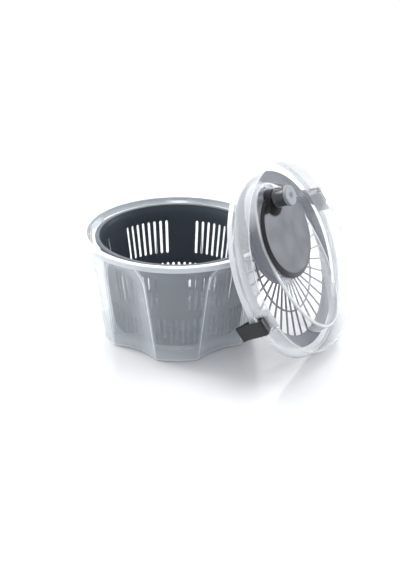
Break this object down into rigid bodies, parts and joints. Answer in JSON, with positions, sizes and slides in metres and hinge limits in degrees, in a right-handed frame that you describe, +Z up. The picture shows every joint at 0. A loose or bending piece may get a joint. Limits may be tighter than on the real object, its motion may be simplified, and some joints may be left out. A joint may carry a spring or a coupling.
{
  "type": "salad spinner",
  "caption": "Hand-cranked salad spinner: lobed translucent bowl, slotted spinning basket, and a clear lid with geared crank, spoked strainer disc and rim clips, leaning off the bowl.",
  "frame": {"origin": "centre of the bowl's flat base, on the surface it stands on", "axes": "+Z up along the bowl, basket and spindle axis; one wall lobe faces -Y; the lid leans on the +X side of the rim"},
  "size_m": [0.3579, 0.2926, 0.2418],
  "materials": {
    "bowl_plastic": "frosted",
    "steel": "turned",
    "white_plastic": "satin",
    "basket_plastic": "satin",
    "lid_plastic": "clear",
    "clip_plastic": "satin",
    "housing_plastic": "satin",
    "strainer_plastic": "satin",
    "crank_plastic": "glossy",
    "knob_plastic": "glossy",
    "cap_plastic": "satin",
    "gear_plastic": "natural"
  },
  "bodies": {
    "bowl": {"bowl": "bowl_plastic", "spindle": "steel"},
    "basket_bush": {"basket_bush": "white_plastic"},
    "basket": {"basket": "basket_plastic"},
    "lid": {"lid_shell": "lid_plastic", "gear_cover": "housing_plastic", "cover_screws": "steel", "crank_bush": "white_plastic", "pinion_bush": "white_plastic", "clip_pin_far": "steel", "clip_pin_near": "steel"},
    "crank": {"crank_disc": "crank_plastic", "ring_gear": "gear_plastic", "crank_axle": "steel", "axle_washer": "steel", "axle_screw": "steel", "knob_pin": "steel"},
    "knob": {"knob_body": "knob_plastic", "knob_cap": "cap_plastic"},
    "strainer": {"strainer_disc": "strainer_plastic", "drive_pinion": "gear_plastic", "pinion_washer": "steel", "strainer_screw": "steel"},
    "clip_near": {"clip_near": "clip_plastic"},
    "clip_far": {"clip_far": "clip_plastic"}
  },
  "joints": [
    {"name": "basket_lift", "type": "slide", "parent": "bowl", "child": "basket_bush", "axis": [0, 0, 1], "range_m": [0, 0.045]},
    {"name": "basket_spin", "type": "hinge", "parent": "basket_bush", "child": "basket", "pos_m": [0, 0, 0.03], "axis": [0, 0, 1], "continuous": true},
    {"name": "lid_lift", "type": "slide", "parent": "bowl", "child": "lid", "axis": [0, 0, 1], "range_m": [0, 0.16]},
    {"name": "crank_spin", "type": "hinge", "parent": "lid", "child": "crank", "pos_m": [0.13123, -0.05255, 0.15765], "axis": [0.8051, -0.4463, 0.3907], "continuous": true},
    {"name": "strainer_spin", "type": "hinge", "parent": "lid", "child": "strainer", "pos_m": [0.14217, -0.04336, 0.12001], "axis": [0.8051, -0.4463, 0.3907], "continuous": true},
    {"name": "knob_spin", "type": "hinge", "parent": "crank", "child": "knob", "pos_m": [0.1297, -0.0643, 0.21137], "axis": [0.8051, -0.4463, 0.3907], "continuous": true},
    {"name": "clip_near_hinge", "type": "hinge", "parent": "lid", "child": "clip_near", "pos_m": [0.10634, -0.15351, 0.08441], "axis": [-0.4869, -0.1211, 0.865], "range_deg": [-8, 80]},
    {"name": "clip_far_hinge", "type": "hinge", "parent": "lid", "child": "clip_far", "pos_m": [0.18831, 0.06107, 0.1606], "axis": [0.4869, 0.1211, -0.865], "range_deg": [-8, 80]}
  ],
  "couplings": [
    {"joint": "strainer_spin", "follows": "crank_spin", "ratio": 5.3333}
  ]
}
